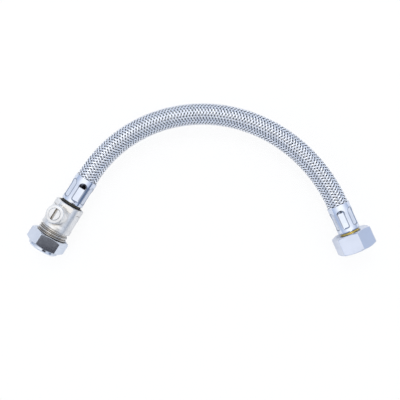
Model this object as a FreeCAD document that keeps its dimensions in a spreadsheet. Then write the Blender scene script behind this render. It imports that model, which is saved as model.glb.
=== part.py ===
"""Flexible braided supply line with a slotted isolating valve, as a parametric FreeCAD document.

One end is a 15 mm compression inlet on a quarter-turn ball valve, the other a G 1/2 swivel nut for
a tap. Millimetres, +Z up, the hose lying in the XY plane. The origin is the centre of the shoulder
that the 15 mm pipe stops against, and +Y runs along the valve towards the hose.

Stations along the valve are measured from the outer face of the compression nut, and stations
along the tap end from the outer face of the tap nut, both growing towards the hose.
"""
import FreeCAD, Part
import Sketcher
import math
import os
import re

# Driving dimensions: alias, value (mm or degrees), meaning.
SIZES = [
    # compression inlet
    ("stop_at", 16.0, "station of the shoulder that the pipe stops against"),
    ("pipe_hole", 15.2, "bore of the pipe socket"),
    ("mouth_at", 5.2, "station of the socket's mouth"),
    ("mouth_d", 18.0, "wide end of the socket's cone"),
    ("socket_at", 8.8, "station where the cone meets the socket bore"),
    ("pitch", 1.814, "G 1/2 thread pitch, 14 threads to the inch"),
    ("male_d", 20.8, "crest of the male thread"),
    ("male_root_d", 18.5, "root of the male thread"),
    ("female_d", 18.9, "crest of the compression nut's thread"),
    ("female_root_d", 21.2, "root of the compression nut's thread, and the tap nut's recess"),
    ("groove_narrow", 0.4, "width of a thread groove at its floor"),
    ("flank", 0.465, "axial run of a thread flank for each mm of depth"),
    ("relief_at", 15.2, "station where the thread relief starts"),
    ("shoulder_at", 16.8, "station where the body's collar starts"),
    # valve body
    ("collar_d", 21.1, "collar behind the thread"),
    ("collar_end_at", 19.4, "station where the collar ends"),
    ("barrel_d", 20.6, "waist of the body"),
    ("hex_at", 31.9, "station where the wrench flats start"),
    ("hex_af", 19.4, "across the six wrench flats"),
    ("hex_turn", 7.5, "turn of a wrench corner from the stem's axis"),
    ("top_at", 36.0, "station of the body's hose-side face"),
    ("flow_d", 10.4, "waterway behind the pipe stop"),
    ("chamber_at", 20.1, "station where the ball chamber starts"),
    ("chamber_d", 16.0, "ball chamber"),
    ("ring_at", 33.3, "station of the seat retainer's inner face"),
    ("ring_d", 17.0, "bore that takes the seat retainer"),
    ("stem_at", 26.7, "station of the stem's axis"),
    ("roll", 11.5, "tilt of the stem's axis from +Z, away from the bend"),
    ("boss_h", 14.5, "height of the stem boss above the valve's axis"),
    ("boss_d", 12.6, "stem boss at its rim"),
    ("boss_draft", 6.0, "draft of the stem boss"),
    # ball and stem
    ("ball_d", 12.0, "ball"),
    ("port_d", 7.4, "port through the ball"),
    ("ball_gap", 0.03, "gap between ball and seats"),
    ("seat_near", 3.9, "distance from the ball's centre to the near face of a seat"),
    ("seat_far", 6.6, "distance from the ball's centre to the far face of a seat"),
    ("slot_floor", 4.3, "height of the floor of the ball's drive slot"),
    ("slot_w", 2.6, "width of the ball's drive slot"),
    ("tang_floor", 4.5, "height of the stem tang's end"),
    ("tang_w", 2.4, "thickness of the stem's tang"),
    ("tang_len", 6.4, "length of the stem's tang"),
    ("stem_d", 8.2, "stem"),
    ("stem_hole", 8.3, "stem bore in the boss"),
    ("foot_d", 10.0, "flange at the foot of the stem"),
    ("foot_hole", 10.3, "counterbore for the stem's flange"),
    ("foot_h", 8.05, "height of the underside of the stem's flange"),
    ("foot_top", 8.75, "height of the top of the stem's flange"),
    ("ledge_h", 9.15, "height of the ledge that the stem washer bears on"),
    ("stem_top", 14.9, "height of the stem's slotted face"),
    ("driver_w", 1.8, "width of the screwdriver slot"),
    ("driver_depth", 1.3, "depth of the screwdriver slot"),
    ("gland_d", 6.4, "floor of the stem's O-ring grooves"),
    ("gland_w", 1.05, "width of an O-ring groove"),
    ("gland_low", 9.35, "height of the lower O-ring groove"),
    ("gland_high", 10.85, "height of the upper O-ring groove"),
    ("stem_cord", 0.92, "cord of the stem's O-rings"),
    # compression nut and olive
    ("nut_af", 24.0, "across the flats of both nuts"),
    ("nut_h", 11.6, "height of the compression nut"),
    ("nut_hole", 15.4, "pipe hole of the compression nut"),
    ("nut_turn", 29.0, "turn of the compression nut's flats from the stem's axis"),
    ("nose_d", 21.4, "round end of the compression nut"),
    ("nose_h", 2.6, "length of the compression nut's round end"),
    ("nut_thread_at", 4.7, "station where the compression nut's thread starts"),
    ("olive_at", 2.15, "station of the olive's outer end"),
    ("olive_w", 5.4, "width of the olive"),
    ("olive_d", 17.6, "crown of the olive"),
    ("olive_end_d", 15.9, "ends of the olive"),
    # hose tails
    ("tail_bore", 6.8, "waterway of the hose tails"),
    ("spigot_d", 11.2, "spigot of the valve's tail"),
    ("spigot_at", 33.4, "station of the inner end of the valve's tail"),
    ("neck_d", 13.5, "brass neck of the tap's tail"),
    ("neck_relief", 0.5, "width of the groove at the top of the tap tail's neck"),
    ("valve_neck_d", 12.4, "brass neck of the valve's tail, inside its O-ring"),
    ("ring_top_at", 35.95, "station of the seat retainer's outer face"),
    ("flange_at", 36.1, "station of the valve tail's neck"),
    ("ferrule_at", 37.1, "station where the valve's ferrule starts"),
    ("barb_root_d", 9.4, "barbed stem between its barbs"),
    ("barb_d", 9.9, "crest of a barb"),
    ("barb_pitch", 3.4, "distance between barbs"),
    ("barb_len", 17.0, "length of the barbed stem above the ferrule's floor"),
    ("tail_cord", 1.06, "cord of the tail's O-ring"),
    # ferrules
    ("ferrule_len", 19.8, "length of a ferrule"),
    ("sheet_t", 0.55, "ferrule wall"),
    ("ferrule_d", 15.0, "ferrule over its ridges"),
    ("bell_d", 15.7, "ferrule at its mouth"),
    ("bell_at", 17.6, "where the ferrule has widened to its mouth"),
    ("dent_d", 13.9, "across opposite pressed dents"),
    ("dent_w", 4.8, "width of a pressed dent"),
    ("dent_at", 3.1, "start of the valve ferrule's dents"),
    ("dent_end", 16.3, "end of the valve ferrule's dents"),
    ("tap_dent_at", 3.6, "start of the tap ferrule's dents"),
    ("tap_dent_end", 15.9, "end of the tap ferrule's dents"),
    ("dent_turn", 28.1, "turn of the valve ferrule's dents from the stem's axis"),
    ("tap_dent_turn", -18.5, "turn of the tap ferrule's dents from +Z"),
    # hose
    ("hose_d", 14.5, "hose over its braid"),
    ("liner_d", 13.2, "rubber liner"),
    ("liner_bore", 9.5, "bore of the liner"),
    ("skin", 0.02, "gap between liner and braid"),
    ("crimp_braid_d", 12.7, "braid squeezed under a ferrule"),
    ("crimp_liner_d", 11.7, "liner squeezed under a ferrule"),
    ("crimp_bore", 10.0, "liner's bore over the barbs"),
    ("hose_len", 213.0, "length of the hose's centreline between the two ferrules"),
    ("first_bend", 0.55, "share of its curvature that the hose keeps beside the valve's ferrule"),
    ("bend_r_valve", 86.0, "radius of the centreline at the valve's end, at rest"),
    ("bend_r_tap", 111.0, "radius of the centreline at the tap's end, at rest"),
    ("knuckle_r", 7.2, "ball end of a hose link"),
    ("knuckle_gap", 0.2, "gap round a link's ball end"),
    # tap end
    ("tap_nut_h", 13.0, "height of the tap nut"),
    ("tap_thread_d", 19.6, "crest of the tap nut's thread"),
    ("tap_root_d", 21.0, "root of the tap nut's thread"),
    ("tap_groove_narrow", 0.2, "width of the tap nut's thread groove at its floor"),
    ("tap_thread_end", 7.4, "station where the tap nut's thread ends"),
    ("tap_wall_at", 11.25, "station of the tap nut's back wall"),
    ("tap_hole", 13.9, "hole in the tap nut's back wall"),
    ("tap_turn", 4.0, "turn of the tap nut's corners from +Z"),
    ("washer_at", 7.5, "station of the tap washer's outer face"),
    ("head_at", 9.75, "station of the tap tail's head"),
    ("head_d", 18.2, "head of the tap tail"),
    ("washer_d", 18.4, "tap washer"),
    ("washer_bore", 9.0, "bore of the tap washer"),
    ("tap_ferrule_at", 13.7, "station where the tap's ferrule starts"),
]
DENTS = 6
HINGES = 12  # the hose bends at this many evenly spaced knuckles
BARBS = 4
MALE_TURNS = 6.3
NUT_TURNS = 5.4
TAP_TURNS = 3.7

doc = FreeCAD.newDocument("supply_line")
Vec = FreeCAD.Vector
sheet = doc.addObject("Spreadsheet::Sheet", "Sizes")
for row, (alias, value, meaning) in enumerate(SIZES, start=1):
    sheet.set(f"A{row}", meaning)
    sheet.set(f"B{row}", str(value))
    sheet.setAlias(f"B{row}", alias)
doc.recompute()
SIZE = {alias: float(value) for alias, value, _ in SIZES}
NODES = {}  # node name: document object


# ---------------------------------------------------------------- helpers
def cells(text):
    """Turns 'hose_d / 2' into an expression on the spreadsheet."""
    return re.sub(r"[a-z]\w*", lambda m: "Sizes." + m[0] if m[0] in SIZE else m[0], text)


def bind(thing, **expressions):
    """Binds properties of a document object to expressions on the spreadsheet."""
    for prop, text in expressions.items():
        thing.setExpression(prop.replace("__", "."), cells(text))
    return thing


def node(name, thing, placement):
    """Names a finished sub-part, puts it in place and lists it for export."""
    thing.Label = name
    thing.Placement = placement
    NODES[name] = thing
    return thing


def new_body(name):
    return doc.addObject("PartDesign::Body", name + "_body")


def new_sketch(body, name, role="XY_Plane", lift=None):
    """A sketch on one of the body's origin planes, lifted along the plane's normal if asked."""
    plane = [f for f in body.Origin.OriginFeatures if f.Role == role][0]
    sketch = body.newObject("Sketcher::SketchObject", name)
    sketch.AttachmentSupport = [(plane, "")]
    sketch.MapMode = "FlatFace"
    if lift:
        bind(sketch, AttachmentOffset__Base__z=lift)
    return sketch


def pin_point(sketch, line, x, y):
    """Fixes the start of a line at the point (x, y), each an expression."""
    for kind, text, axis in (("DistanceX", x, -2), ("DistanceY", y, -1)):
        if text == "0":
            sketch.addConstraint(Sketcher.Constraint("PointOnObject", line, 1, axis))
        else:
            index = sketch.addConstraint(Sketcher.Constraint(kind, -1, 1, line, 1, 1.0))
            sketch.setExpression(f"Constraints[{index}]", cells(text))


def outline(body, name, points, role="XY_Plane", lift=None):
    """A closed outline of straight lines through points, each a pair of expressions."""
    sketch = new_sketch(body, name, role, lift)
    count = len(points)
    ring = [
        Vec(20 + 10 * math.cos(math.tau * i / count), 20 + 10 * math.sin(math.tau * i / count), 0)
        for i in range(count)
    ]
    for i in range(count):
        sketch.addGeometry(Part.LineSegment(ring[i], ring[(i + 1) % count]), False)
    for i in range(count):
        sketch.addConstraint(Sketcher.Constraint("Coincident", i, 2, (i + 1) % count, 1))
    for i, (x, y) in enumerate(points):
        pin_point(sketch, i, x, y)
    return sketch


def turned(body, name, points, kind="Revolution"):
    """Turns an outline of (radius, station) points about the body's Y axis, adding or cutting."""
    sketch = outline(body, name + "_outline", points)
    feature = body.newObject("PartDesign::" + kind, name)
    feature.Profile = sketch
    feature.ReferenceAxis = (sketch, ["V_Axis"])
    feature.Angle = 360
    return feature


def bored(body, name, points):
    """Cuts a turned outline, and checks that it took material away."""
    doc.recompute()
    before = body.Shape.Volume
    feature = turned(body, name, points, "Groove")
    doc.recompute()
    if not feature.Shape.Volume < before:
        raise ValueError(name + " cuts nothing")
    return feature


def hexagon(body, name, across, turn, lift=None):
    """A regular hexagon across its flats, its first corner turned from the plane's X axis."""
    sketch = new_sketch(body, name, "XZ_Plane", lift)
    radius = 10.0
    corner = [
        Vec(radius * math.cos(math.radians(60 * i)), radius * math.sin(math.radians(60 * i)), 0)
        for i in range(6)
    ]
    for i in range(6):
        sketch.addGeometry(Part.LineSegment(corner[i], corner[(i + 1) % 6]), False)
    circle = sketch.addGeometry(Part.Circle(Vec(0, 0, 0), Vec(0, 0, 1), radius), True)
    arm = sketch.addGeometry(Part.LineSegment(Vec(0, 0, 0), corner[0]), True)
    for i in range(6):
        sketch.addConstraint(Sketcher.Constraint("Coincident", i, 2, (i + 1) % 6, 1))
        sketch.addConstraint(Sketcher.Constraint("PointOnObject", i, 1, circle))
    for i in range(1, 6):
        sketch.addConstraint(Sketcher.Constraint("Equal", 0, i))
    sketch.addConstraint(Sketcher.Constraint("Coincident", circle, 3, -1, 1))
    sketch.addConstraint(Sketcher.Constraint("Coincident", arm, 1, -1, 1))
    sketch.addConstraint(Sketcher.Constraint("Coincident", arm, 2, 0, 1))
    size = sketch.addConstraint(Sketcher.Constraint("Radius", circle, radius))
    sketch.setExpression(f"Constraints[{size}]", cells(f"{across} / sqrt(3)"))
    angle = sketch.addConstraint(Sketcher.Constraint("Angle", -1, 1, arm, 1, math.radians(10)))
    sketch.setExpression(f"Constraints[{angle}]", cells(f"({turn}) * 1 deg"))
    return sketch


def disc(body, name, diameter, station):
    """A circle on the body's XY plane, centred on the Y axis at a station."""
    sketch = new_sketch(body, name)
    circle = sketch.addGeometry(Part.Circle(Vec(0, 20, 0), Vec(0, 0, 1), 3), False)
    sketch.addConstraint(Sketcher.Constraint("PointOnObject", circle, 3, -2))
    place = sketch.addConstraint(Sketcher.Constraint("DistanceY", -1, 1, circle, 3, 20.0))
    sketch.setExpression(f"Constraints[{place}]", cells(station))
    size = sketch.addConstraint(Sketcher.Constraint("Diameter", circle, 6.0))
    sketch.setExpression(f"Constraints[{size}]", cells(diameter))
    return sketch


def raised(body, name, sketch, length, reverse, kind="Pad"):
    """Pads or pockets a sketch by a length, an expression."""
    feature = body.newObject("PartDesign::" + kind, name)
    feature.Profile = sketch
    feature.Reversed = reverse
    return bind(feature, Length=length)


def edges_where(shape, test):
    return [f"Edge{i + 1}" for i, edge in enumerate(shape.Edges) if test(edge)]


def eased(body, name, kind, size, test):
    """Fillets or chamfers the edges of the body's tip that pass a test."""
    doc.recompute()
    base = body.Tip
    edges = edges_where(base.Shape, test)
    if not edges:
        raise ValueError(name + " finds no edges")
    feature = body.newObject("PartDesign::" + kind, name)
    feature.Base = (base, edges)
    bind(feature, **{"Radius" if kind == "Fillet" else "Size": size})
    return feature


def threaded(body, name, floor_d, open_d, station, turns, floor_w="groove_narrow"):
    """Cuts a right-hand thread groove, narrow at its floor and wide at the open side, which runs
    on past the crest so that the cut is clean. A station is the middle of the first groove."""
    narrow = f"{floor_w} / 2"
    wide = f"({floor_w} / 2 + flank * abs({open_d} - {floor_d}) / 2)"
    points = [
        (f"{floor_d} / 2", f"{station} + 20 - {narrow}"),
        (f"{open_d} / 2", f"{station} + 20 - {wide}"),
        (f"{open_d} / 2", f"{station} + 20 + {wide}"),
        (f"{floor_d} / 2", f"{station} + 20 + {narrow}"),
    ]
    sketch = outline(body, name + "_outline", points)
    sketch.AttachmentOffset = FreeCAD.Placement(Vec(0, -20, 0), FreeCAD.Rotation())
    doc.recompute()
    before = body.Shape.Volume
    helix = body.newObject("PartDesign::SubtractiveHelix", name)
    helix.Profile = sketch
    helix.ReferenceAxis = (sketch, ["V_Axis"])
    helix.Mode = 0
    bind(helix, Pitch="pitch", Height=f"pitch * {turns}")
    doc.recompute()
    if not helix.Shape.Volume < before:
        raise ValueError(name + " cuts nothing")
    return helix


def cylinder(name, diameter, low, high):
    """A cylinder about the Y axis between two stations."""
    rod = doc.addObject("Part::Cylinder", name)
    bind(rod, Radius=f"({diameter}) / 2", Height=f"({high}) - ({low})")
    rod.Placement = FreeCAD.Placement(Vec(0, 0, 0), FreeCAD.Rotation(Vec(1, 0, 0), -90))
    bind(rod, Placement__Base__y=low)
    return rod


def cut(name, base, tool):
    made = doc.addObject("Part::Cut", name)
    made.Base = base
    made.Tool = tool
    return made


def fused(name, *shapes):
    made = doc.addObject("Part::MultiFuse", name)
    made.Shapes = list(shapes)
    return made


# ---------------------------------------------------------------- frames
VALVE_FRAME = FreeCAD.Placement(
    Vec(0, -SIZE["stop_at"], 0), FreeCAD.Rotation(Vec(0, 1, 0), -SIZE["roll"])
)
HOSE_START = SIZE["ferrule_at"] + SIZE["ferrule_len"]  # station of the valve ferrule's mouth
TAP_LENGTH = SIZE["tap_ferrule_at"] + SIZE["ferrule_len"]
LINK_LENGTH = SIZE["hose_len"] / HINGES


def link_span(link):
    """Where a link starts and ends along the hose. The first and last are half links."""
    start = max(0.0, (link - 0.5) * LINK_LENGTH)
    end = min(SIZE["hose_len"], (link + 0.5) * LINK_LENGTH)
    return start, end


def link_share(link):
    """How far along the hose the middle of a link lies, from 0 to 1."""
    return sum(link_span(link)) / 2 / SIZE["hose_len"]


def link_bend(link):
    """Curvature of a link, as an expression. It falls evenly from the valve's end, and the first
    half link is straighter, because the ferrule holds it."""
    share = link_share(link)
    bend = f"((1 - {share}) / bend_r_valve + {share} / bend_r_tap)"
    return f"first_bend * {bend}" if link == 0 else bend


def link_radius(link):
    """Centreline radius of a link."""
    share = link_share(link)
    bend = (1 - share) / SIZE["bend_r_valve"] + share / SIZE["bend_r_tap"]
    return 1 / (bend * SIZE["first_bend"]) if link == 0 else 1 / bend


def link_angle(link):
    """The angle a link turns through, in degrees."""
    start, end = link_span(link)
    return math.degrees((end - start) / link_radius(link))


def link_starts():
    """Frames on the centreline at the start of each link and at the end of the last one. Their
    Y axes run on along the hose, and their X axes point to the inside of the bend."""
    frames = [FreeCAD.Placement(Vec(0, HOSE_START - SIZE["stop_at"], 0), FreeCAD.Rotation())]
    for link in range(HINGES + 1):
        radius = link_radius(link)
        turn = math.radians(link_angle(link))
        step = Vec(radius * (1 - math.cos(turn)), radius * math.sin(turn), 0)
        along = FreeCAD.Placement(step, FreeCAD.Rotation(Vec(0, 0, 1), -link_angle(link)))
        frames.append(frames[-1].multiply(along))
    return frames


LINK_START = link_starts()
TAP_FRAME = LINK_START[-1].multiply(
    FreeCAD.Placement(Vec(0, TAP_LENGTH, 0), FreeCAD.Rotation(Vec(0, 0, 1), 180))
)


# ---------------------------------------------------------------- valve
def make_valve_body():
    """Forged body: threaded inlet, round waist, wrench flats at the hose side, and a stem boss."""
    body = new_body("valve_body")
    turned(body, "body_turning", [
        ("0", "mouth_at"), ("male_root_d / 2", "mouth_at"), ("male_d / 2", "mouth_at + 1.1"),
        ("male_d / 2", "relief_at"), ("male_root_d / 2", "relief_at + 0.5"),
        ("male_root_d / 2", "shoulder_at"), ("collar_d / 2 - 0.5", "shoulder_at"),
        ("collar_d / 2", "shoulder_at + 0.5"), ("collar_d / 2", "collar_end_at"),
        ("barrel_d / 2", "collar_end_at + 1.6"), ("barrel_d / 2", "top_at"), ("0", "top_at"),
    ])
    flats = hexagon(body, "wrench_flats", "hex_af", "30 + hex_turn", "-top_at")
    rim = flats.addGeometry(Part.Circle(Vec(0, 0, 0), Vec(0, 0, 1), 15.0), False)
    flats.addConstraint(Sketcher.Constraint("Coincident", rim, 3, -1, 1))
    size = flats.addConstraint(Sketcher.Constraint("Diameter", rim, 30.0))
    flats.setExpression(f"Constraints[{size}]", cells("barrel_d + 4"))
    doc.recompute()
    round_volume = body.Shape.Volume
    raised(body, "wrench_flat_cut", flats, "top_at - hex_at", True, "Pocket")
    doc.recompute()
    if not body.Shape.Volume < round_volume - 1:
        raise ValueError("the wrench flats cut nothing")
    bored(body, "body_rim", [
        ("barrel_d / 2 - 1", "top_at"), ("barrel_d / 2 + 1", "top_at - 0.9"),
        ("barrel_d / 2 + 1", "top_at"),
    ])
    boss = raised(body, "stem_boss", disc(
        body, "boss_circle", "boss_d + 2 * boss_h * tan(boss_draft)", "stem_at"), "boss_h", False)
    bind(boss, TaperAngle="-boss_draft")
    eased(body, "boss_rim", "Chamfer", "0.5", lambda e: isinstance(e.Curve, Part.Circle)
          and abs(e.Curve.Center.z - SIZE["boss_h"]) < 0.01)
    bored(body, "waterway", [
        ("0", "mouth_at"), ("mouth_d / 2", "mouth_at"), ("pipe_hole / 2", "socket_at"),
        ("pipe_hole / 2", "stop_at"), ("flow_d / 2", "stop_at"), ("flow_d / 2", "chamber_at"),
        ("chamber_d / 2", "chamber_at"), ("chamber_d / 2", "ring_at - 0.1"),
        ("ring_d / 2", "ring_at - 0.1"), ("ring_d / 2", "top_at"), ("0", "top_at"),
    ])
    raised(body, "stem_bore", disc(body, "stem_circle", "stem_hole", "stem_at"),
           "boss_h + 1", True, "Pocket")
    raised(body, "stem_counterbore", disc(body, "foot_circle", "foot_hole", "stem_at"),
           "ledge_h", True, "Pocket")
    threaded(body, "inlet_thread", "male_root_d", "(male_d + 0.6)", "mouth_at - pitch / 2",
             MALE_TURNS)
    node("valve_body", body, VALVE_FRAME)


def make_ball():
    ball = doc.addObject("Part::Sphere", "ball_sphere")
    bind(ball, Radius="ball_d / 2", Placement__Base__y="stem_at")
    port = cylinder("ball_port", "port_d", "stem_at - ball_d", "stem_at + ball_d")
    slot = doc.addObject("Part::Box", "ball_slot")
    bind(slot, Length="ball_d", Width="slot_w", Height="ball_d")
    bind(slot, Placement__Base__x="-ball_d / 2", Placement__Base__y="stem_at - slot_w / 2",
         Placement__Base__z="slot_floor")
    node("ball", cut("ball_cut", cut("ball_bored", ball, port), slot), VALVE_FRAME)


def make_seat(name, low, high):
    """A PTFE ring between two stations with a round face that follows the ball."""
    ring = cut(name + "_ring", cylinder(name + "_outer", "chamber_d - 0.1", low, high),
               cylinder(name + "_hole", "port_d + 0.2", f"{low} - 1", f"{high} + 1"))
    ball = doc.addObject("Part::Sphere", name + "_face")
    bind(ball, Radius="ball_d / 2 + ball_gap", Placement__Base__y="stem_at")
    node(name, cut(name + "_cut", ring, ball), VALVE_FRAME)


def make_retainer():
    """Brass ring that holds the seats in, with two notches for a pin spanner."""
    body = new_body("seat_retainer")
    turned(body, "retainer_ring", [
        ("spigot_d / 2 + 0.03", "ring_at"), ("ring_d / 2 - 0.35", "ring_at"),
        ("ring_d / 2 - 0.05", "ring_at + 0.3"), ("ring_d / 2 - 0.05", "ring_top_at"),
        ("spigot_d / 2 + 0.03", "ring_top_at"),
    ])
    notch = doc.addObject("Part::Box", "retainer_notch")
    bind(notch, Length="ring_d + 2", Width="1.2", Height="1.6")
    bind(notch, Placement__Base__x="-ring_d / 2 - 1", Placement__Base__y="ring_top_at - 1",
         Placement__Base__z="-0.8")
    core = cylinder("retainer_core", "spigot_d + 3", "ring_at - 1", "top_at + 1")
    notches = cut("retainer_notches", notch, core)
    node("seat_retainer", cut("seat_retainer_cut", body, notches), VALVE_FRAME)


def make_stem():
    """Stem turned about its own axis, with a drive tang below and a screwdriver slot on top."""
    body = new_body("stem")
    turned(body, "stem_turning", [
        ("0", "foot_h"), ("foot_d / 2", "foot_h"), ("foot_d / 2", "foot_top"),
        ("stem_d / 2", "foot_top"), ("stem_d / 2", "gland_low"), ("gland_d / 2", "gland_low"),
        ("gland_d / 2", "gland_low + gland_w"), ("stem_d / 2", "gland_low + gland_w"),
        ("stem_d / 2", "gland_high"), ("gland_d / 2", "gland_high"),
        ("gland_d / 2", "gland_high + gland_w"), ("stem_d / 2", "gland_high + gland_w"),
        ("stem_d / 2", "stem_top - 0.3"), ("stem_d / 2 - 0.3", "stem_top"), ("0", "stem_top"),
    ])
    tang = doc.addObject("Part::Box", "stem_tang")
    bind(tang, Length="tang_len", Width="foot_h - tang_floor + 0.3", Height="tang_w")
    bind(tang, Placement__Base__x="-tang_len / 2", Placement__Base__y="tang_floor",
         Placement__Base__z="-tang_w / 2")
    slot = doc.addObject("Part::Box", "driver_slot")
    bind(slot, Length="driver_w", Width="driver_depth + 1", Height="stem_d + 2")
    bind(slot, Placement__Base__x="-driver_w / 2", Placement__Base__y="stem_top - driver_depth",
         Placement__Base__z="-stem_d / 2 - 1")
    stem = cut("stem_cut", fused("stem_tanged", body, tang), slot)
    node("stem", stem, stem_frame())


def stem_frame():
    """A frame whose Y axis is the stem's axis, with its origin on the valve's axis."""
    upright = FreeCAD.Placement(Vec(0, SIZE["stem_at"], 0), FreeCAD.Rotation(Vec(1, 0, 0), 90))
    return VALVE_FRAME.multiply(upright)


def make_o_ring(name, diameter, cord, centre, frame):
    """An O-ring about the Y axis of a frame. The diameter is over the middle of its cord."""
    ring = doc.addObject("Part::Torus", name + "_torus")
    bind(ring, Radius1=f"({diameter}) / 2", Radius2=f"{cord} / 2")
    upright = FreeCAD.Placement(Vec(0, centre, 0), FreeCAD.Rotation(Vec(1, 0, 0), 90))
    node(name, ring, frame.multiply(upright))


def make_stem_washer():
    ring = cut("stem_washer_cut",
               cylinder("stem_washer_outer", "foot_d", "foot_top + 0.02", "ledge_h - 0.02"),
               cylinder("stem_washer_hole", "stem_hole", "foot_top - 1", "ledge_h + 1"))
    node("stem_washer", ring, stem_frame())


# ---------------------------------------------------------------- compression joint
def make_compression_nut():
    """Hexagon with chamfered corners and a turned nose, coned inside to squeeze the olive."""
    body = new_body("compression_nut")
    flats = hexagon(body, "nut_flats", "nut_af", "90 - nut_turn - 30")
    raised(body, "nut_hex", flats, "nut_h", True)
    corner = "nut_af * 0.5774"
    bored(body, "nut_chamfer", [
        (f"{corner} + 2", "nut_h"), ("nut_af / 2 - 0.2", "nut_h"),
        (f"{corner} + 2", "nut_h - 2"),
    ])
    bored(body, "nut_nose", [
        (f"{corner} + 2", "0"), ("nose_d / 2 - 0.9", "0"), ("nose_d / 2", "0.9"),
        ("nose_d / 2", "nose_h - 0.3"), ("nut_af / 2 - 0.3", "nose_h"),
        (f"{corner} + 2", "nose_h + 1.6"),
    ])
    bored(body, "nut_bore", [
        ("0", "0"), ("nut_hole / 2 + 0.5", "0"), ("nut_hole / 2", "0.5"),
        ("nut_hole / 2", "1.5"), ("female_root_d / 2 - 1.2", "nut_thread_at - 0.3"),
        ("female_d / 2", "nut_thread_at"), ("female_d / 2", "nut_h - 1.2"),
        ("female_root_d / 2", "nut_h"), ("0", "nut_h"),
    ])
    threaded(body, "nut_thread", "female_root_d", "(female_d - 0.6)", "mouth_at - pitch",
             NUT_TURNS)
    node("compression_nut", body, VALVE_FRAME)


def make_olive():
    body = new_body("olive")
    turned(body, "olive_turning", [
        ("pipe_hole / 2", "olive_at"), ("olive_end_d / 2", "olive_at"),
        ("olive_d / 2", "olive_at + olive_w * 0.4"), ("olive_d / 2", "olive_at + olive_w * 0.6"),
        ("olive_end_d / 2", "olive_at + olive_w"), ("pipe_hole / 2", "olive_at + olive_w"),
    ])
    node("olive", body, VALVE_FRAME)


# ---------------------------------------------------------------- hose ends
def barbs(floor):
    """Points of a barbed stem, from its free end down to a station just above the ferrule's
    floor. Each barb slopes towards the hose, so that the hose slides on and not off."""
    points = [
        ("tail_bore / 2", f"{floor} + barb_len"), ("barb_root_d / 2 - 0.5", f"{floor} + barb_len"),
    ]
    for i in range(BARBS):
        top = f"{floor} + barb_len - {i} * barb_pitch"
        points += [
            ("barb_root_d / 2", f"{top} - 0.5"), ("barb_d / 2", f"{top} - barb_pitch + 0.4"),
            ("barb_root_d / 2", f"{top} - barb_pitch + 0.3"),
        ]
    return points[::-1]


def make_valve_tail():
    """Brass insert: a spigot held in the seat retainer, a neck, and the barbed stem."""
    body = new_body("valve_tail")
    turned(body, "valve_tail_turning", [
        ("tail_bore / 2", "spigot_at"), ("spigot_d / 2", "spigot_at"),
        ("spigot_d / 2", "flange_at"), ("valve_neck_d / 2", "flange_at"),
        ("valve_neck_d / 2", "ferrule_at"), ("barb_root_d / 2", "ferrule_at"),
    ] + barbs("ferrule_at"))
    node("valve_tail", body, VALVE_FRAME)


def make_tap_tail():
    """Brass insert: a head that pulls the washer up, a neck for the nut to turn on, and barbs."""
    body = new_body("tap_tail")
    turned(body, "tap_tail_turning", [
        ("tail_bore / 2", "head_at"), ("head_d / 2 - 0.3", "head_at"),
        ("head_d / 2", "head_at + 0.3"), ("head_d / 2", "tap_wall_at - 0.05"),
        ("neck_d / 2", "tap_wall_at - 0.05"), ("neck_d / 2", "tap_ferrule_at - neck_relief"),
        ("neck_d / 2 - 1", "tap_ferrule_at - neck_relief"), ("neck_d / 2 - 1", "tap_ferrule_at"),
        ("barb_root_d / 2", "tap_ferrule_at"),
    ] + barbs("tap_ferrule_at"))
    node("tap_tail", body, TAP_FRAME)


def make_ferrule(name, floor, dent_low, dent_high, turn, frame):
    """Stainless sleeve with a floor that bears on the tail's neck, a bell mouth for the hose, and
    six dents pressed into its wall. Each dent is a boss inside the wall and a slot outside it."""
    body = new_body(name)
    turned(body, name + "_turning", [
        ("barb_root_d / 2 + 0.1", floor), ("ferrule_d / 2 - 0.6", floor),
        ("ferrule_d / 2 - 0.15", f"{floor} + 0.2"), ("ferrule_d / 2", f"{floor} + 0.7"),
        ("ferrule_d / 2", f"{floor} + bell_at - 1"), ("bell_d / 2", f"{floor} + bell_at"),
        ("bell_d / 2", f"{floor} + ferrule_len - 0.2"),
        ("bell_d / 2 - 0.15", f"{floor} + ferrule_len"),
        ("hose_d / 2 + 0.05", f"{floor} + ferrule_len"),
        ("hose_d / 2 + 0.05", f"{floor} + bell_at + 0.2"),
        ("ferrule_d / 2 - sheet_t", f"{floor} + bell_at - 0.8"),
        ("ferrule_d / 2 - sheet_t", f"{floor} + sheet_t"),
        ("barb_root_d / 2 + 0.1", f"{floor} + sheet_t"),
    ])
    back = dent_outline(body, name + "_dent_back_outline", floor, dent_low, dent_high, 1)
    pad = raised(body, name + "_dent_back", back, "sheet_t", False)
    six_times(body, name + "_dent_backs", pad)
    face = dent_outline(body, name + "_dent_outline", floor, dent_low, dent_high, 0)
    dent = raised(body, name + "_dent", face, "bell_d", True, "Pocket")
    six_times(body, name + "_dents", dent)
    node(name, body, frame.multiply(
        FreeCAD.Placement(Vec(0, 0, 0), FreeCAD.Rotation(Vec(0, 1, 0), turn))))


def six_times(body, name, feature):
    """Repeats a feature round the body's Y axis, and checks that each copy counts alike."""
    doc.recompute()
    first = feature.Shape.Volume - feature.BaseFeature.Shape.Volume
    pattern = body.newObject("PartDesign::PolarPattern", name)
    pattern.Originals = [feature]
    pattern.Axis = ([f for f in body.Origin.OriginFeatures if f.Role == "Y_Axis"][0], [""])
    pattern.Angle = 360
    pattern.Occurrences = DENTS
    body.Tip = pattern
    doc.recompute()
    total = pattern.Shape.Volume - feature.BaseFeature.Shape.Volume
    if abs(total - DENTS * first) > 0.02 * abs(total):
        raise ValueError(f"{name}: {total:.2f} is not {DENTS} times {first:.2f}")


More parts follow.
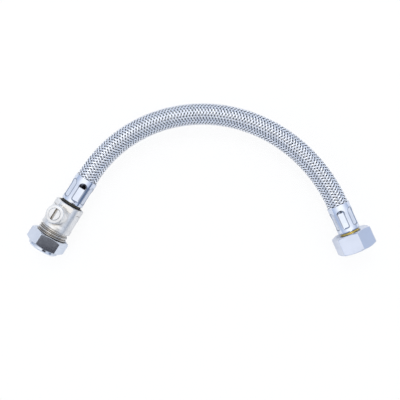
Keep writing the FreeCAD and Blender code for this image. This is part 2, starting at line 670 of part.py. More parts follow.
def dent_outline(body, name, floor, dent_low, dent_high, walls):
    """A slot with a round end and a squarer end, on a plane that lies inside the dent's face by
    a number of wall thicknesses. The slot grows by 0.2 mm for each of them."""
    sketch = new_sketch(body, name, "XY_Plane", f"dent_d / 2 - {walls} * sheet_t")
    grown = walls * 0.2
    half = SIZE["dent_w"] / 2 + grown
    corner = half / 2
    base_y = SIZE[floor] + SIZE[dent_low] - grown
    top_y = SIZE[floor] + SIZE[dent_high] + grown - half
    lines = [
        (Vec(half, base_y + corner, 0), Vec(half, top_y, 0)),
        (Vec(-half, top_y, 0), Vec(-half, base_y + corner, 0)),
        (Vec(corner - half, base_y, 0), Vec(half - corner, base_y, 0)),
    ]
    arcs = [
        (Vec(0, top_y, 0), half, 0, math.pi),
        (Vec(corner - half, base_y + corner, 0), corner, math.pi, 1.5 * math.pi),
        (Vec(half - corner, base_y + corner, 0), corner, 1.5 * math.pi, 2 * math.pi),
    ]
    right, left, base = [
        sketch.addGeometry(Part.LineSegment(start, end), False) for start, end in lines
    ]
    top, left_round, right_round = [
        sketch.addGeometry(
            Part.ArcOfCircle(Part.Circle(centre, Vec(0, 0, 1), radius), start, end), False)
        for centre, radius, start, end in arcs
    ]
    chain = [right, top, left, left_round, base, right_round]
    for first, second in zip(chain, chain[1:] + chain[:1]):
        sketch.addConstraint(Sketcher.Constraint("Tangent", first, 2, second, 1))
    sketch.addConstraint(Sketcher.Constraint("PointOnObject", top, 3, -2))
    sketch.addConstraint(Sketcher.Constraint("Vertical", right))
    sketch.addConstraint(Sketcher.Constraint("Horizontal", base))
    width = f"(dent_w / 2 + {grown})"
    for kind, places, value, text in (
        ("Radius", (top,), half, width),
        ("Radius", (left_round,), corner, f"{width} / 2"),
        ("DistanceY", (-1, 1, base, 1), base_y, f"{floor} + {dent_low} - {grown}"),
        ("DistanceY", (-1, 1, top, 3), top_y, f"{floor} + {dent_high} + {grown} - {width}"),
    ):
        index = sketch.addConstraint(Sketcher.Constraint(kind, *places, value))
        sketch.setExpression(f"Constraints[{index}]", cells(text))
    return sketch


# ---------------------------------------------------------------- hose
def bent_rod(name, link, diameter, start, end):
    """A rod of a given diameter along a link's centreline between two of its angles."""
    rod = doc.addObject("Part::Torus", name)
    bind(rod, Radius1=f"1 / ({link_bend(link)})", Radius2=f"({diameter}) / 2")
    rod.Angle3 = end - start
    rod.Placement = LINK_START[link].multiply(FreeCAD.Placement(
        Vec(link_radius(link), 0, 0), FreeCAD.Rotation(Vec(0, 0, 1), 180 - end)))
    return rod


def knuckle(index):
    """The space a link may fill at its far end: all that lies before the knuckle, and a ball."""
    near = doc.addObject("Part::Box", f"before_{index:02d}")
    bind(near, Length="hose_d * 2", Width="hose_d * 3", Height="hose_d * 2")
    corner = Vec(-SIZE["hose_d"], -SIZE["hose_d"] * 3, -SIZE["hose_d"])
    near.Placement = LINK_START[index].multiply(FreeCAD.Placement(corner, FreeCAD.Rotation()))
    ball = doc.addObject("Part::Sphere", f"knuckle_{index:02d}")
    bind(ball, Radius="knuckle_r")
    ball.Placement = LINK_START[index]
    return fused(f"reach_{index:02d}", near, ball)


def socket(index):
    """The hollow at a link's near end, which clears the ball of the link before it."""
    ball = doc.addObject("Part::Sphere", f"socket_{index:02d}")
    bind(ball, Radius="knuckle_r + knuckle_gap")
    ball.Placement = LINK_START[index]
    return ball


def straight_tube(name, outer, crimped, bore, crimped_bore, bore_taper, floor, frame):
    """A tube inside a ferrule: squeezed over the barbs, then widening to the free hose. The two
    ends of the taper of its bore are distances from the ferrule's floor."""
    body = new_body(name)
    turned(body, name + "_turning", [
        (f"({crimped_bore}) / 2", f"{floor} + sheet_t + 0.1"),
        (f"({crimped}) / 2", f"{floor} + sheet_t + 0.1"),
        (f"({crimped}) / 2", f"{floor} + bell_at - 1"),
        (f"({outer}) / 2", f"{floor} + bell_at + 1"),
        (f"({outer}) / 2", f"{floor} + ferrule_len"),
        (f"({bore}) / 2", f"{floor} + ferrule_len"),
        (f"({bore}) / 2", f"{floor} + {bore_taper[1]}"),
        (f"({crimped_bore}) / 2", f"{floor} + {bore_taper[0]}"),
    ])
    body.Placement = frame
    return body


CAP_ANGLE = math.degrees(SIZE["knuckle_r"] / (SIZE["bend_r_valve"] - SIZE["hose_d"] / 2)) + 0.5


def make_hose_links(layer, outer, bore, crimped, crimped_bore, bore_taper):
    """One layer of the hose as links: each ends in a ball and starts with a socket, so that the
    links turn about a point on the centreline. The end links run on into the ferrules."""
    for link in range(HINGES + 1):
        name = f"{layer}_link_{link:02d}"
        end = link_angle(link) + CAP_ANGLE
        if link == 0:
            name = f"{layer}_valve_end"
        elif link == HINGES:
            name = f"{layer}_tap_end"
            end = link_angle(link)
        shape = cut(name + "_tube", bent_rod(name + "_outer", link, outer, 0, end),
                    bent_rod(name + "_bore", link, bore, -1, end + 1))
        if link < HINGES:
            common = doc.addObject("Part::Common", name + "_capped")
            common.Base = shape
            common.Tool = REACH[link + 1]
            shape = common
        if link > 0:
            shape = cut(name + "_socketed", shape, SOCKET[link])
        if link in (0, HINGES):
            floor, place = ("ferrule_at", VALVE_FRAME) if link == 0 else ("tap_ferrule_at", TAP_FRAME)
            straight = straight_tube(
                name, outer, crimped, bore, crimped_bore, bore_taper, floor, place)
            shape = fused(name + "_joined", straight, shape)
        node(name, shape, FreeCAD.Placement())


# ---------------------------------------------------------------- tap end
def make_tap_nut():
    """Swivel nut: chamfered hexagon, G 1/2 thread, relief for the washer, and a back wall."""
    body = new_body("tap_nut")
    flats = hexagon(body, "tap_nut_flats", "nut_af", "90 - tap_turn")
    raised(body, "tap_nut_hex", flats, "tap_nut_h", True)
    corner = "nut_af * 0.5774"
    bored(body, "tap_nut_back_chamfer", [
        (f"{corner} + 2", "tap_nut_h"), ("nut_af / 2 - 0.3", "tap_nut_h"),
        (f"{corner} + 2", "tap_nut_h - 2"),
    ])
    bored(body, "tap_nut_front_chamfer", [
        (f"{corner} + 2", "0"), ("nut_af / 2 - 0.3", "0"), (f"{corner} + 2", "2"),
    ])
    bored(body, "tap_nut_bore", [
        ("0", "0"), ("female_root_d / 2", "0"), ("tap_thread_d / 2", "1.2"),
        ("tap_thread_d / 2", "tap_thread_end"), ("female_root_d / 2", "tap_thread_end"),
        ("female_root_d / 2", "tap_wall_at - 0.6"), ("female_root_d / 2 - 0.6", "tap_wall_at"),
        ("tap_hole / 2", "tap_wall_at"), ("tap_hole / 2", "tap_nut_h - 0.4"),
        ("tap_hole / 2 + 0.4", "tap_nut_h"), ("0", "tap_nut_h"),
    ])
    threaded(body, "tap_thread", "tap_root_d", "(tap_thread_d - 0.6)", "1.2 - pitch / 2",
             TAP_TURNS, "tap_groove_narrow")
    node("tap_nut", body, TAP_FRAME)


def make_tap_washer():
    ring = cut("tap_washer_cut",
               cylinder("tap_washer_outer", "washer_d", "washer_at", "head_at - 0.02"),
               cylinder("tap_washer_hole", "washer_bore", "washer_at - 1", "head_at + 1"))
    node("tap_washer", ring, TAP_FRAME)


# ---------------------------------------------------------------- assembly
make_valve_body()
make_compression_nut()
make_olive()
make_ball()
make_seat("inlet_seat", "stem_at - seat_far", "stem_at - seat_near")
make_seat("outlet_seat", "stem_at + seat_near", "stem_at + seat_far")
make_retainer()
make_stem()
make_stem_washer()
for level in ("low", "high"):
    make_o_ring(f"stem_o_ring_{level}", "gland_d + stem_cord + 0.04", "stem_cord",
                SIZE["gland_" + level] + SIZE["gland_w"] / 2, stem_frame())
make_valve_tail()
make_o_ring("tail_o_ring", "valve_neck_d + tail_cord + 0.04", "tail_cord",
            (SIZE["top_at"] + SIZE["ferrule_at"]) / 2, VALVE_FRAME)
make_ferrule("valve_ferrule", "ferrule_at", "dent_at", "dent_end", SIZE["dent_turn"], VALVE_FRAME)
REACH = {index: knuckle(index) for index in range(1, HINGES + 1)}
SOCKET = {index: socket(index) for index in range(1, HINGES + 1)}
make_hose_links("liner", "liner_d", "liner_bore", "crimp_liner_d", "crimp_bore",
                ("barb_len - 0.2", "barb_len + 1"))
make_hose_links("braid", "hose_d", "liner_d + 2 * skin", "crimp_braid_d",
                "crimp_liner_d + 2 * skin", ("bell_at - 1", "bell_at + 1"))
make_ferrule("tap_ferrule", "tap_ferrule_at", "tap_dent_at", "tap_dent_end",
             SIZE["tap_dent_turn"], TAP_FRAME)
make_tap_tail()
make_tap_nut()
make_tap_washer()
doc.recompute()

for thing in doc.Objects:
    if "Invalid" in thing.State or "Error" in thing.State:
        raise ValueError(f"{thing.Label} failed: {thing.State}")
os.makedirs("parts", exist_ok=True)
for name, thing in NODES.items():
    shape = thing.Shape
    if shape.isNull() or not shape.isValid() or shape.Volume <= 0:
        raise ValueError(name + " has no valid solid")
    shape.exportStep(f"parts/{name}.step")
print(len(NODES), "sub-parts")
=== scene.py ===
"""Looks of the flexible supply line: woven steel braid, pressed ferrules and plated metals.

Lengths in the code are millimetres. Everything is scaled to metres as it becomes a mesh.
"""

import bpy
import math
import numpy as np
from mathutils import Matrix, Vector


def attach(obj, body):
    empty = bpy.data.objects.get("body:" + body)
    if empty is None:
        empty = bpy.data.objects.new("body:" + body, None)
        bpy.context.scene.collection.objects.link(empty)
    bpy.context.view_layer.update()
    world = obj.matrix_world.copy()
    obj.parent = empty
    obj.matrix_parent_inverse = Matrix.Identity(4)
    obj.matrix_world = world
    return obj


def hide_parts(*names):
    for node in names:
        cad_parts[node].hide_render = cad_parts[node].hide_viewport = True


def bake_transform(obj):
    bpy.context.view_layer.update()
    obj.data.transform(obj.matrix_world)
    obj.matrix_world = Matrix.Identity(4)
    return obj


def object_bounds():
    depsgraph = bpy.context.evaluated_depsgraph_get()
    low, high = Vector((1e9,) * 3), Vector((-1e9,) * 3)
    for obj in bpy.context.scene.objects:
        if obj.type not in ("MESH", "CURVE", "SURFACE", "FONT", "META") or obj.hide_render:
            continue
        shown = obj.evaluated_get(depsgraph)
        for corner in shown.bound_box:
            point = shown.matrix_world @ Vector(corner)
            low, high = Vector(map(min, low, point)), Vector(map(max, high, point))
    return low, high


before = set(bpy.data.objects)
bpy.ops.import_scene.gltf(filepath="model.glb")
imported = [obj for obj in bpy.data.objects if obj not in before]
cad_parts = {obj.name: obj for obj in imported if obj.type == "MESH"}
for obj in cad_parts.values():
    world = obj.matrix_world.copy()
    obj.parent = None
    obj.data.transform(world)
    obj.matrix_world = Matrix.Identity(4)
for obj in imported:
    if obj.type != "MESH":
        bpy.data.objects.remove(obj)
cad_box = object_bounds()

MM = 0.001
UP = np.array([0.0, 0.0, 1.0])

# The hose's centreline: straight in the ferrules, and between them a bend whose curvature falls
# evenly from the valve's end to the tap's, as in the CAD.
HINGES = 12
START_Y = 40.9
LENGTH = 213.0
BEND_AT_VALVE = 1 / 86.0
BEND_AT_TAP = 1 / 111.0
FIRST_BEND = 0.55  # share of its curvature that the hose keeps in the first half link
PIECE = LENGTH / HINGES
VALVE_END_Y = -16.0  # the compression nut's outer face
VALVE_FERRULE = 37.1  # from there to the valve ferrule's floor
TAP_FERRULE = 13.7  # from the tap nut's outer face to the tap ferrule's floor
FERRULE_LEN = 19.8

# Braid
CARRIERS = 12  # each way
WIRES = 5  # side by side in a carrier
WIRE_R = 0.095
WIRE_STEP = 0.19  # half the spacing of two wires side by side
WIRE_SIDES = 6
LEAD = 25.8  # length of hose in which a wire goes round once
BRAID_R = 6.95  # the middle of the braid's thickness
WAVE = 0.19  # how far a wire swings in and out as it goes over and under
FLATNESS = 2.2  # how squarely it swings
CRIMP_R = 6.08  # the same as BRAID_R, squeezed under a ferrule

# Liner
LINER_R = 6.55
LINER_BORE_R = 4.75
CRIMP_LINER_R = 5.72
CRIMP_BORE_R = 5.05
TUBE_COLUMNS = 72

rng = np.random.default_rng(7)
strand_shade = {
    (way, carrier, wire): rng.random()
    for way in (1, -1) for carrier in range(CARRIERS) for wire in range(WIRES)
}


# ---------------------------------------------------------------- geometry helpers
def travelled(slope):
    """The running integral of a slope over the stations."""
    step = STATIONS[1] - STATIONS[0]
    return np.concatenate([[0.0], np.cumsum((slope[1:] + slope[:-1]) / 2 * step)])


STATIONS = np.linspace(0, LENGTH, 4801)
BEND = BEND_AT_VALVE + (BEND_AT_TAP - BEND_AT_VALVE) * STATIONS / LENGTH
BEND = BEND * np.where(STATIONS < PIECE / 2, FIRST_BEND, 1.0)
HEADING = travelled(BEND)
BEND_X = travelled(np.sin(HEADING))
BEND_Y = START_Y + travelled(np.cos(HEADING))


def centreline(u):
    """Points, directions and outward sides of the centreline at distances u from the bend's start.

    It runs on straight beyond the bend, at both ends.
    """
    on_bend = np.clip(u, 0, LENGTH)
    turn = np.interp(on_bend, STATIONS, HEADING)
    zero = np.zeros_like(turn)
    direction = np.stack([np.sin(turn), np.cos(turn), zero], -1)
    outward = np.stack([-np.cos(turn), np.sin(turn), zero], -1)
    x = np.interp(on_bend, STATIONS, BEND_X)
    y = np.interp(on_bend, STATIONS, BEND_Y)
    point = np.stack([x, y, zero], -1)
    return point + direction * (u - on_bend)[..., None], direction, outward


def around(u, theta, radius):
    """Points at an angle and a radius about the centreline, and their radial directions."""
    point, _, outward = centreline(u)
    radial = np.cos(theta)[..., None] * outward + np.sin(theta)[..., None] * UP
    return point + radius[..., None] * radial, radial


def new_mesh(name, points, faces, smooth_shaded=True):
    """A mesh object from points in mm."""
    mesh = bpy.data.meshes.new(name)
    mesh.from_pydata((np.asarray(points) * MM).tolist(), [], faces)
    mesh.validate()
    mesh.polygons.foreach_set("use_smooth", [smooth_shaded] * len(mesh.polygons))
    obj = bpy.data.objects.new(name, mesh)
    bpy.context.scene.collection.objects.link(obj)
    return obj


def grid_faces(rows, columns, close_rows, close_columns):
    """Quads of a grid of points, row by row, closing either way round."""
    faces = []
    for i in range(rows if close_rows else rows - 1):
        for j in range(columns if close_columns else columns - 1):
            a = i * columns + j
            b = i * columns + (j + 1) % columns
            c = (i + 1) % rows * columns + (j + 1) % columns
            d = (i + 1) % rows * columns + j
            faces.append((a, b, c, d))
    return faces


def swept_wires(name, paths, radials, lifts, shades):
    """Closed round wires along paths of points (wire, sample, xyz), flat at their ends.

    Each point keeps its strand's shade, and how far it stands out of the weave, from -1 to 1.
    """
    tangent = np.gradient(paths, axis=1)
    tangent /= np.linalg.norm(tangent, axis=-1, keepdims=True)
    normal = radials - (radials * tangent).sum(-1, keepdims=True) * tangent
    normal /= np.linalg.norm(normal, axis=-1, keepdims=True)
    side = np.cross(tangent, normal)
    phi = np.arange(WIRE_SIDES) * math.tau / WIRE_SIDES
    ring = np.cos(phi)[:, None] * normal[:, :, None, :] + np.sin(phi)[:, None] * side[:, :, None, :]
    points = paths[:, :, None, :] + WIRE_R * ring
    wires, samples = paths.shape[:2]
    one = np.array(grid_faces(samples, WIRE_SIDES, False, True))
    offsets = np.arange(wires) * samples * WIRE_SIDES
    faces = (one[None] + offsets[:, None, None]).reshape(-1, 4).tolist()
    last = (samples - 1) * WIRE_SIDES
    for offset in offsets.tolist():
        faces.append([offset + i for i in range(WIRE_SIDES)][::-1])
        faces.append([offset + last + i for i in range(WIRE_SIDES)])
    obj = new_mesh(name, points.reshape(-1, 3), faces)
    lift = lifts[:, :, None] + WIRE_R * (ring * radials[:, :, None, :]).sum(-1)
    point_values(obj, "strand", np.repeat(shades, samples * WIRE_SIDES))
    point_values(obj, "lift", lift / (WAVE + WIRE_R))
    return obj


def point_values(obj, name, values):
    """Keeps one number for each point of a mesh."""
    attribute = obj.data.attributes.new(name, "FLOAT", "POINT")
    attribute.data.foreach_set("value", np.asarray(values, np.float32).ravel())


def weave(wave):
    """A rounded square wave from a cosine: wires lie flat on a crossing and dive between."""
    return np.tanh(FLATNESS * wave) / math.tanh(FLATNESS)


def braid(name, start, end, middle, samples):
    """The braid's wires between two distances. Half of them wind each way, two over and two under."""
    paths, radials, lifts, shades = [], [], [], []
    u = np.linspace(start, end, samples)
    base = middle(u)
    for way in (1, -1):
        for carrier in range(CARRIERS):
            for wire in range(WIRES):
                spread = (wire - (WIRES - 1) / 2) * 2 * WIRE_STEP / BRAID_R
                theta = math.tau * (way * u / LEAD + carrier / CARRIERS) + spread
                other = (theta + way * math.tau * u / LEAD) * CARRIERS / math.tau
                wave = np.cos(math.tau * (carrier + other - 0.5) / 4)
                lift = way * WAVE * weave(wave)
                points, radial = around(u, theta, base + lift)
                paths.append(points)
                radials.append(radial)
                lifts.append(lift)
                shades.append(strand_shade[way, carrier, wire])
    return swept_wires(name, np.array(paths), np.array(radials), np.array(lifts), np.array(shades))


def tube(name, start, end, outer, inner, rows):
    """A closed tube along the centreline with radii that depend on the distance."""
    u = np.linspace(start, end, rows)
    theta = np.arange(TUBE_COLUMNS) * math.tau / TUBE_COLUMNS
    uu, tt = np.meshgrid(u, theta, indexing="ij")
    outside, _ = around(uu, tt, np.broadcast_to(outer(u)[:, None], uu.shape))
    inside, _ = around(uu, tt, np.broadcast_to(inner(u)[:, None], uu.shape))
    points = np.concatenate([outside, inside[::-1]]).reshape(-1, 3)
    return new_mesh(name, points, grid_faces(2 * rows, TUBE_COLUMNS, True, True))


# ---------------------------------------------------------------- frames of the two ends
class End:
    """A straight end: where its station 0 is, which way its stations grow, and its two sides."""

    def __init__(self, origin, axis):
        self.origin = origin
        self.axis = axis
        self.side = np.cross(axis, UP)

    def points(self, station, angle, radius):
        """Points at a station, an angle from +Z towards the side, and a radius."""
        radial = np.cos(angle)[..., None] * UP + np.sin(angle)[..., None] * self.side
        return self.origin + station[..., None] * self.axis + radius[..., None] * radial


tap_face, tap_direction, _ = centreline(np.array([LENGTH + TAP_FERRULE + FERRULE_LEN]))
VALVE = End(np.array([0.0, VALVE_END_Y, 0.0]), np.array([0.0, 1.0, 0.0]))
TAP = End(tap_face[0], -tap_direction[0])


# ---------------------------------------------------------------- ferrules
FERRULE_COLUMNS = 360
FERRULE_ROWS = 200
DENTS = 6
DENT_FLOOR = 6.93  # from the centreline to the middle of a dent's floor
DENT_CORNER = 0.55  # rounding of a dent's lower corners, as a share of its half width
SHEET = 0.5  # thickness of the ferrule's sheet
THIN_SHEET = 0.12  # its least thickness, in the middle of a dent
TAIL_HOLE_R = 4.8  # the hole for the tail in the ferrule's floor
WAIST_R = 7.42  # outside of the sleeve between its floor and its mouth
FOOT = 0.26  # how much wider it is beside its floor
FOOT_END, FOOT_START = 6.0, 1.5  # where it has narrowed to its waist, and where it starts to
MOUTH_START, MOUTH_END = 4.6, 0.6  # where it widens to its mouth, back from the dents' far ends
BORE_R = 7.29  # widest inside of the sleeve, over the braid
MOUTH_BORE_R = 7.27  # narrowest inside of its mouth
MOUTH_LEN = 2.2
ROLL = 1.5  # radius of the roll at the ferrule's floor
LIP = 0.25  # rounding of its mouth
BEAD = 0.06  # height of the ridge that the die raises round a dent
BEAD_W = 0.4
PAINTED_LINE_W = 0.32  # width of the painted shade line round each dent


def smooth(low, high, x):
    """0 at low, 1 at high, and an even S in between."""
    t = np.clip((x - low) / (high - low), 0, 1)
    return t * t * (3 - 2 * t)


def rim_distance(x, y, half, low, high):
    """Distance outside a dent's rim, negative inside: a round top and rounded lower corners."""
    corner = half * DENT_CORNER
    bottom = low + corner
    top = high - half
    square = y <= bottom
    dx = np.maximum(np.abs(x) - np.where(square, half - corner, 0), 0)
    dy = np.where(y > top, y - top, np.where(square, bottom - y, 0))
    return np.hypot(dx, dy) - np.where(square, corner, half)


def ferrule(name, end, floor, dent_low, dent_high, half, wall, slope, dent_angle, mouth):
    """Pressed sleeve: a rolled floor, six dents between ridges, and a bell mouth.

    A dent is 2 * half wide, with a wall 2 * wall wide all round. Its floor climbs to the sleeve's
    surface over its last stretch, slope mm long. Painted shade darkens a line round each dent's
    wall, and the sleeve's foot.
    """
    columns = FERRULE_COLUMNS
    angle = np.arange(columns) * math.tau / columns
    v = np.linspace(0, 1, FERRULE_ROWS) * FERRULE_LEN
    vv, aa = np.meshgrid(v, angle, indexing="ij")
    radius = WAIST_R + FOOT * smooth(FOOT_END, FOOT_START, v)
    radius = radius + (mouth - WAIST_R) * smooth(dent_high - MOUTH_START, dent_high - MOUTH_END, v)
    rolled = np.clip(ROLL - v, 0, ROLL)
    radius = radius - ROLL + np.sqrt(ROLL ** 2 - rolled ** 2)
    lip = np.clip(v - (FERRULE_LEN - LIP), 0, LIP)
    radius = radius - LIP + np.sqrt(LIP ** 2 - lip ** 2)
    pitch = math.tau / DENTS
    local = (aa - dent_angle + pitch / 2) % pitch - pitch / 2
    distance = rim_distance(local * WAIST_R, vv, half, dent_low, dent_high)
    depth = smooth(wall, -wall, distance)
    climb = np.clip((vv - (dent_high - slope)) / slope, 0, 1)
    flat_floor = DENT_FLOOR / np.maximum(np.cos(local), 0.9)
    flat_floor = flat_floor + (mouth - flat_floor) * climb
    outer = radius[:, None] * (1 - depth) + np.minimum(flat_floor, radius[:, None]) * depth
    bead = np.exp(-(((distance - wall) / BEAD_W) ** 2))
    outer = outer + BEAD * bead * smooth(0.6, 1.6, vv)
    inner = np.minimum(outer - SHEET, BORE_R)
    inner = np.where(vv > FERRULE_LEN - MOUTH_LEN, np.maximum(inner, MOUTH_BORE_R), inner)
    inner = np.minimum(inner, outer - THIN_SHEET)
    keep = v > SHEET
    hole = np.full((1, columns), TAIL_HOLE_R)
    layers = [
        end.points(np.full((1, columns), floor), aa[:1], hole),
        end.points(vv + floor, aa, outer),
        end.points(vv[keep][::-1] + floor, aa[keep][::-1], inner[keep][::-1]),
        end.points(np.full((1, columns), floor + SHEET), aa[:1], inner[keep][:1] - 0.05),
        end.points(np.full((1, columns), floor + SHEET), aa[:1], hole),
    ]
    stack = np.concatenate(layers)
    obj = new_mesh(name, stack.reshape(-1, 3), grid_faces(len(stack), columns, True, True))
    # painted shade on the sleeve: a dark line round each dent's wall and a darker foot
    painted_shades = np.zeros((len(stack), columns))
    rim = np.exp(-((distance / PAINTED_LINE_W) ** 2)) * smooth(0.5, 1.5, vv)
    painted_shades[1:FERRULE_ROWS + 1] = rim + smooth(0.9, 0.2, vv)  # the second part is painted shade at the sleeve's foot
    point_values(obj, "painted_shade", painted_shades)
    return obj


# ---------------------------------------------------------------- materials
WHITE = (1.0, 1.0, 1.0)
# tint of the painted shade round the ferrules' dents and at their foot
PAINTED_SHADE_TINT = (0.30, 0.32, 0.36)
CORNER_SHADE_REACH = 2.2 * MM  # how far from a wall a corner counts as deep, for the painted corner shade
PATCHES = 90  # slow patches of tone, per metre


def new_material(name):
    material = bpy.data.materials.new(name)
    material.use_nodes = True
    nodes = material.node_tree.nodes
    nodes.clear()
    output = nodes.new("ShaderNodeOutputMaterial")
    shader = nodes.new("ShaderNodeBsdfPrincipled")
    material.node_tree.links.new(shader.outputs[0], output.inputs["Surface"])
    return material, nodes, material.node_tree.links, shader


def noise(nodes, links, scale, **values):
    """Noise on object coordinates, at a scale in features per metre."""
    node = nodes.new("ShaderNodeTexNoise")
    node.inputs["Scale"].default_value = scale
    for key, value in values.items():
        node.inputs[key].default_value = value
    links.new(nodes.new("ShaderNodeTexCoord").outputs["Object"], node.inputs["Vector"])
    return node.outputs["Fac"]


def kept_number(nodes, name):
    """The number that a mesh keeps for each of its points."""
    node = nodes.new("ShaderNodeAttribute")
    node.attribute_name = name
    return node.outputs["Fac"]


def mixed(nodes, links, kind, a, b):
    """Two colours blended in full: MULTIPLY, or LIGHTEN for the brighter of the two."""
    blend = nodes.new("ShaderNodeMix")
    blend.data_type = "RGBA"
    blend.blend_type = kind
    blend.inputs["Factor"].default_value = 1.0
    links.new(a, blend.inputs["A"])
    links.new(b, blend.inputs["B"])
    return blend.outputs["Result"]


def ramp(nodes, links, source, stops):
    """A colour for each value of source, from stops of (value, colour)."""
    node = nodes.new("ShaderNodeValToRGB")
    links.new(source, node.inputs["Fac"])
    elements = node.color_ramp.elements
    while len(elements) < len(stops):
        elements.new(0.5)
    for element, (position, colour) in zip(elements, stops):
        element.position = position
        element.color = (*colour, 1)
    return node.outputs["Color"]


def remap(nodes, links, source, low, high, to_low, to_high):
    node = nodes.new("ShaderNodeMapRange")
    links.new(source, node.inputs["Value"])
    for key, value in (("From Min", low), ("From Max", high), ("To Min", to_low), ("To Max", to_high)):
        node.inputs[key].default_value = value
    return node.outputs["Result"]


def bump(nodes, links, height, distance, strength, normal=None):
    node = nodes.new("ShaderNodeBump")
    node.inputs["Distance"].default_value = distance
    node.inputs["Strength"].default_value = strength
    links.new(height, node.inputs["Height"])
    if normal is not None:
        links.new(normal, node.inputs["Normal"])
    return node.outputs["Normal"]


def soft_edges(nodes, radius):
    node = nodes.new("ShaderNodeBevel")
    node.samples = 6
    node.inputs["Radius"].default_value = radius
    return node.outputs["Normal"]


def plated(name, light, dark, rough, grain, grain_depth, edge, corner_shade_colour):
    """Plated metal: fine grain, slow patches of tone and roughness, and softened edges.

    Grain is per metre, and its depth and the edges' radius are in mm. Painted shade darkens deep
    corners.
    """
    material, nodes, links, shader = new_material(name)
    patches = noise(nodes, links, PATCHES, Detail=4.0, Roughness=0.55)
    fine = noise(nodes, links, grain, Detail=3.0, Roughness=0.6)
    colour = ramp(nodes, links, patches, [(0.3, dark), (0.7, light)])
    # painted shade: darker round the ferrules' dents and at their foot
    rim_and_foot_shade = ramp(nodes, links, kept_number(nodes, "painted_shade"), [(0.0, WHITE), (1.0, PAINTED_SHADE_TINT)])
    colour = mixed(nodes, links, "MULTIPLY", colour, rim_and_foot_shade)
    if corner_shade_colour:
        # painted shade: ambient occlusion darkens the colour in corners, thread grooves and slots
        corner = nodes.new("ShaderNodeAmbientOcclusion")
        corner.samples = 8
        corner.inputs["Distance"].default_value = CORNER_SHADE_REACH
        painted_corner_shade = ramp(nodes, links, corner.outputs["AO"], [(0.35, corner_shade_colour), (0.90, WHITE)])
        colour = mixed(nodes, links, "MULTIPLY", colour, painted_corner_shade)
    links.new(colour, shader.inputs["Base Color"])
    shader.inputs["Metallic"].default_value = 1.0
    rough_out = remap(nodes, links, patches, 0.3, 0.7, rough * 1.25, rough * 0.8)
    links.new(rough_out, shader.inputs["Roughness"])
    normal = bump(nodes, links, fine, grain_depth * MM, 0.5, soft_edges(nodes, edge * MM))
    links.new(normal, shader.inputs["Normal"])
    return material


def rubber(name, tone, rough):
    """Rubber or plastic of one tone: a fine grain and slow patches."""
    material, nodes, links, shader = new_material(name)
    fine = noise(nodes, links, 2500, Detail=4.0)
    slow = noise(nodes, links, 160, Detail=3.0)
    dark = tuple(tone * share for share in (0.8, 0.8, 0.85))
    light = tuple(tone * share for share in (1.3, 1.3, 1.35))
    links.new(ramp(nodes, links, slow, [(0.3, dark), (0.7, light)]), shader.inputs["Base Color"])
    links.new(remap(nodes, links, slow, 0.3, 0.7, rough, rough * 0.8), shader.inputs["Roughness"])
    links.new(bump(nodes, links, fine, 0.04 * MM, 0.6), shader.inputs["Normal"])
    return material


def wire_steel(name):
    """Bright drawn wire.

    Its tone differs a little from strand to strand and along each strand. Painted shade darkens it
    where it dives under the crossing wires.
    """
    material, nodes, links, shader = new_material(name)
    sum_of = nodes.new("ShaderNodeMath")
    sum_of.operation = "MULTIPLY_ADD"
    along_share = 0.4  # of the difference along a strand, next to that between strands
    links.new(noise(nodes, links, 700, Detail=2.0), sum_of.inputs[0])
    sum_of.inputs[1].default_value = along_share
    links.new(kept_number(nodes, "strand"), sum_of.inputs[2])
    tone = remap(nodes, links, sum_of.outputs[0], 0.0, 1.0 + along_share, 0.0, 1.0)
    colour = ramp(nodes, links, tone, [(0.0, (0.84, 0.86, 0.90)), (1.0, (0.98, 0.98, 0.99))])
    lift = remap(nodes, links, kept_number(nodes, "lift"), -1, 1, 0, 1)
    # painted shade: the wire's colour is darker the deeper it dives under the crossing wires
    depth = ramp(nodes, links, lift, [(0.04, (0.10, 0.11, 0.14)), (0.40, WHITE)])
    links.new(mixed(nodes, links, "MULTIPLY", colour, depth), shader.inputs["Base Color"])
    shader.inputs["Metallic"].default_value = 1.0
    links.new(remap(nodes, links, tone, 0, 1, 0.36, 0.24), shader.inputs["Roughness"])
    return material


PLATED = {
    # look: material, light and dark tones, roughness, grain, its depth, edge radius, painted corner
    # shade
    "nickel": ("satin_nickel", (0.80, 0.78, 0.75), (0.66, 0.64, 0.61), 0.36, 2600, 0.03, 0.4,
               (0.42, 0.38, 0.33)),
    "chrome": ("bright_chrome", (0.64, 0.67, 0.72), (0.57, 0.60, 0.66), 0.12, 1800, 0.008, 0.3,
               (0.45, 0.43, 0.40)),
    "pale": ("pale_chrome", (0.66, 0.68, 0.74), (0.61, 0.63, 0.69), 0.20, 2200, 0.012, 0.8, None),
    "steel": ("polished_steel", (0.68, 0.71, 0.77), (0.56, 0.59, 0.66), 0.08, 1500, 0.01, 0.2, None),
    "brass": ("turned_brass", (0.86, 0.68, 0.22), (0.74, 0.54, 0.14), 0.22, 2400, 0.02, 0.2, None),
    "old_brass": ("tarnished_brass", (0.24, 0.19, 0.09), (0.08, 0.06, 0.03), 0.40, 2400, 0.02, 0.2,
                  None),
}
LOOKS = {look: plated(*values) for look, values in PLATED.items()}
LOOKS["ptfe"] = rubber("white_ptfe", 0.8, 0.45)
LOOKS["seal"] = rubber("seal_rubber", 0.022, 0.5)
LOOKS["liner"] = rubber("liner_rubber", 0.02, 0.6)
LOOKS["wire"] = wire_steel("braid_wire")
LOOK_OF = {
    "valve_body": "nickel", "compression_nut": "chrome", "tap_nut": "pale", "olive": "brass",
    "ball": "chrome", "stem": "nickel", "valve_tail": "brass", "tap_tail": "brass",
    "seat_retainer": "old_brass", "inlet_seat": "ptfe", "outlet_seat": "ptfe", "stem_washer": "ptfe",
    "stem_o_ring_low": "seal", "stem_o_ring_high": "seal", "tail_o_ring": "seal",
    "tap_washer": "seal",
}  # the rest is steel
